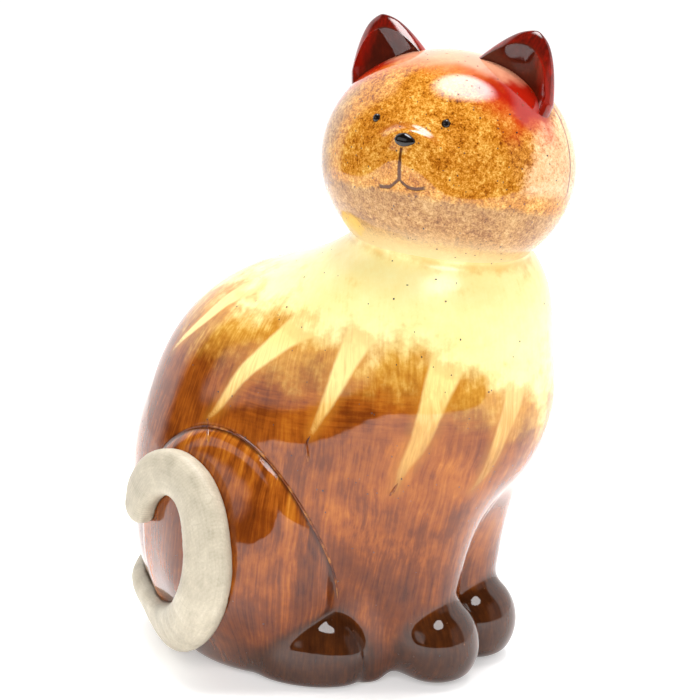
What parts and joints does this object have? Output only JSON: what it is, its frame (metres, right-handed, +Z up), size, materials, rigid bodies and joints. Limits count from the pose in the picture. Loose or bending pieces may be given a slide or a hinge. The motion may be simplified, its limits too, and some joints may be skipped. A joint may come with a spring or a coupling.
{
  "type": "cat figurine",
  "caption": "Hollow glazed ceramic cat, sitting upright with its head turned to its right and its tail curled on its flank; rests on a flat foot.",
  "frame": {"origin": "middle of the whole model's box, on the plane it stands on", "axes": "+Z up; the body faces -Y, the cat's own left is +X, its head looks towards -X"},
  "size_m": [0.1486, 0.1828, 0.2503],
  "materials": {
    "body_glaze": "clear gloss glaze over brushed brown underglaze with pale yellow streaks",
    "head_glaze": "clear gloss glaze over sponged amber underglaze",
    "ear_glaze": "gloss glaze, deep red fading to brown inside",
    "tail_slip": "unglazed cream slip, satin matt",
    "black_enamel": "gloss black"
  },
  "bodies": {
    "root": {"body_shell": "body_glaze", "head_shell": "head_glaze", "ear_left": "ear_glaze", "ear_right": "ear_glaze", "tail": "tail_slip", "eye_left": "black_enamel", "eye_right": "black_enamel", "nose": "black_enamel"}
  },
  "joints": []
}
